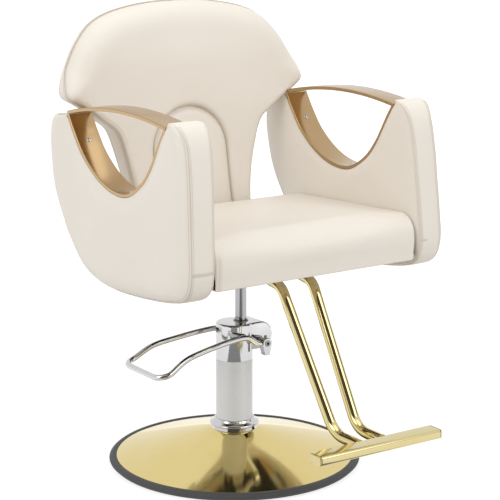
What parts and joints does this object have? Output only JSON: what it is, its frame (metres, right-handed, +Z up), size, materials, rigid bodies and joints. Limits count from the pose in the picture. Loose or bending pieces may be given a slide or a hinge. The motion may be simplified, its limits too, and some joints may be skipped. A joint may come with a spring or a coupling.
{
  "type": "hairdressing chair",
  "caption": "Hydraulic salon styling chair: round gold base, pump with foot lever, cream upholstered seat, winged backrest, looped arms and T-bar footrest.",
  "frame": {"origin": "centre of the round base on the floor plane", "axes": "+Z up, the chair faces -Y at rest, +X is the sitter's left"},
  "size_m": [0.6736, 0.8259, 1.0221],
  "materials": {
    "leatherette": "cream grained leatherette, stitched",
    "gold_plate": "polished pale gold plating on steel",
    "champagne_band": "satin champagne bronze plating on flat steel",
    "chrome": "bright chrome plating",
    "satin_tube": "satin silver lacquer",
    "zinc_steel": "zinc plated steel",
    "black_steel": "black enamel",
    "rubber": "matt dark grey rubber",
    "plywood": "bare plywood"
  },
  "bodies": {
    "base": {"base_dish": "gold_plate", "base_trim_ring": "rubber", "pump_foot_plate": "zinc_steel", "base_flange": "chrome", "flange_bolt_1": "zinc_steel", "flange_bolt_2": "zinc_steel", "flange_bolt_3": "zinc_steel", "flange_bolt_4": "zinc_steel", "pump_cylinder": "satin_tube", "inner_barrel": "zinc_steel", "pump_head": "chrome", "rod_gland": "zinc_steel"},
    "rod": {"piston_rod": "chrome", "piston": "zinc_steel"},
    "lever": {"pivot_shaft": "zinc_steel", "pump_lever": "chrome", "lever_collar_front": "chrome", "lever_collar_rear": "chrome", "collar_screw_front": "zinc_steel", "collar_screw_rear": "zinc_steel"},
    "seat": {"seat_cushion": "leatherette", "back_cushion": "leatherette", "lumbar_pad": "leatherette", "arm_pad_left": "leatherette", "arm_pad_right": "leatherette", "footrest_tube_left": "gold_plate", "footrest_tube_right": "gold_plate", "footrest_bar": "gold_plate", "footrest_cap_left": "gold_plate", "footrest_cap_right": "gold_plate", "arm_liner_left": "champagne_band", "arm_liner_right": "champagne_band", "armrest_bar_left": "champagne_band", "armrest_bar_right": "champagne_band", "band_screw_left_1": "chrome", "band_screw_left_2": "chrome", "band_screw_right_1": "chrome", "band_screw_right_2": "chrome", "seat_plate": "zinc_steel", "seat_bolt_1": "zinc_steel", "seat_bolt_2": "zinc_steel", "seat_bolt_3": "zinc_steel", "seat_bolt_4": "zinc_steel", "back_bracket_left": "zinc_steel", "back_bracket_right": "zinc_steel", "arm_bracket_left_front": "zinc_steel", "arm_bracket_left_rear": "zinc_steel", "arm_bracket_right_front": "zinc_steel", "arm_bracket_right_rear": "zinc_steel", "footrest_plate": "zinc_steel", "footrest_bolt_left": "zinc_steel", "footrest_bolt_right": "zinc_steel", "socket_lock_ring": "black_steel", "swivel_socket": "black_steel", "footrest_stud_left": "rubber", "footrest_stud_right": "rubber", "seat_board": "plywood"}
  },
  "joints": [
    {"name": "lift", "type": "slide", "parent": "base", "child": "rod", "axis": [0, 0, 1], "range_m": [-0.06, 0.08]},
    {"name": "swivel", "type": "hinge", "parent": "rod", "child": "seat", "pos_m": [0.018, 0, 0.43], "axis": [0, 0, 1], "continuous": true},
    {"name": "pump_pedal", "type": "hinge", "parent": "base", "child": "lever", "pos_m": [0.05, 0, 0.278], "axis": [0, -1, 0], "range_deg": [0, 22], "stiffness_Nm_per_rad": 12, "springref_deg": -14.32}
  ]
}
